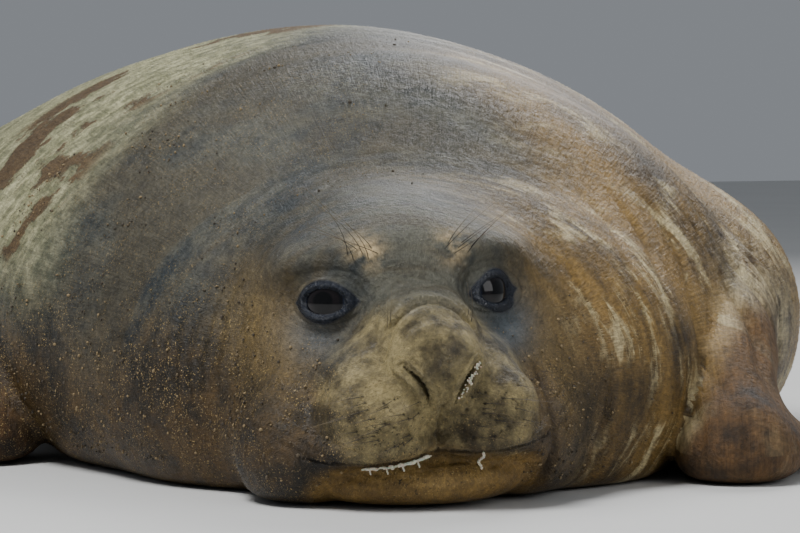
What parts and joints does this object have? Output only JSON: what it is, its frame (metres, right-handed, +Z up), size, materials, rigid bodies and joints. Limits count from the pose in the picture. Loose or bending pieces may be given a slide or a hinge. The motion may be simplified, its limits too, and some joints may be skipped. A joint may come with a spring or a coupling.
{
  "type": "elephant seal",
  "caption": "Life-size elephant seal lying on its belly with its body curved to one side, head low on the ground, short trunk-like nose, whisker pads, flippers with claws.",
  "frame": {"origin": "centre of the bounding box's footprint, on the ground", "axes": "+Y along the straight line from head to tail, head at -Y; +Z up; +X to the seal's left"},
  "size_m": [1.0132, 2.7458, 0.43],
  "materials": {
    "coat": "satin",
    "eye": "gloss",
    "claw": "matte"
  },
  "bodies": {
    "root": {"head": "coat", "neck": "coat", "chest": "coat", "abdomen": "coat", "hindquarters": "coat", "tail": "coat", "foreflipper_left": "coat", "foreflipper_right": "coat", "hindflipper_left": "coat", "hindflipper_right": "coat", "eye_left": "eye", "eye_right": "eye", "claw_left_1": "claw", "claw_left_2": "claw", "claw_left_3": "claw", "claw_left_4": "claw", "claw_left_5": "claw", "claw_right_1": "claw", "claw_right_2": "claw", "claw_right_3": "claw", "claw_right_4": "claw", "claw_right_5": "claw"}
  },
  "joints": []
}
